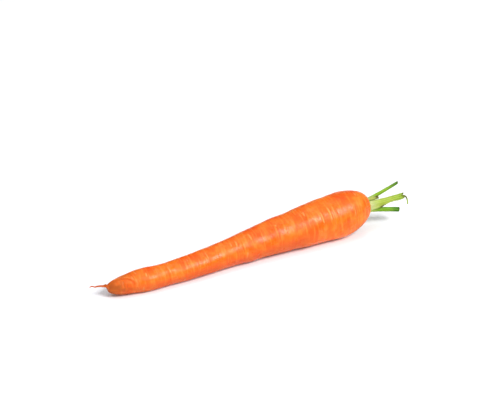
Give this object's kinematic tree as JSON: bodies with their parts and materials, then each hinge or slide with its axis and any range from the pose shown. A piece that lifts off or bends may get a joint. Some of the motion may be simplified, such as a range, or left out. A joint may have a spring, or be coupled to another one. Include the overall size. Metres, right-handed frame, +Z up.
{
  "type": "carrot",
  "caption": "Whole raw carrot lying on its side: a blunt tapering orange taproot with a thread-like tail, and trimmed green leaf stalks standing in its dimpled crown.",
  "frame": {"origin": "on the surface that the carrot lies on, under the middle of the whole carrot's bounding box", "axes": "+X along the root towards its crown and leaf stalks, +Z up, the tail towards -X"},
  "size_m": [0.229, 0.0304, 0.0298],
  "materials": {
    "root_skin": "satin, damp orange skin with faint rings and short pale scars across it",
    "green_stalk": "satin, fresh green stalk with fine ribs, whitish at its foot and brown at its cut end",
    "pale_stalk": "satin, pale yellow-green stalk with fine ribs, whitish at its foot and brown where it is torn"
  },
  "bodies": {
    "root": {"taproot": "root_skin", "stalk_upper_long": "green_stalk", "stalk_short_stub": "pale_stalk", "stalk_middle_torn": "pale_stalk", "stalk_lower_thick": "green_stalk", "stalk_back": "pale_stalk", "stalk_inner": "pale_stalk"}
  },
  "joints": []
}
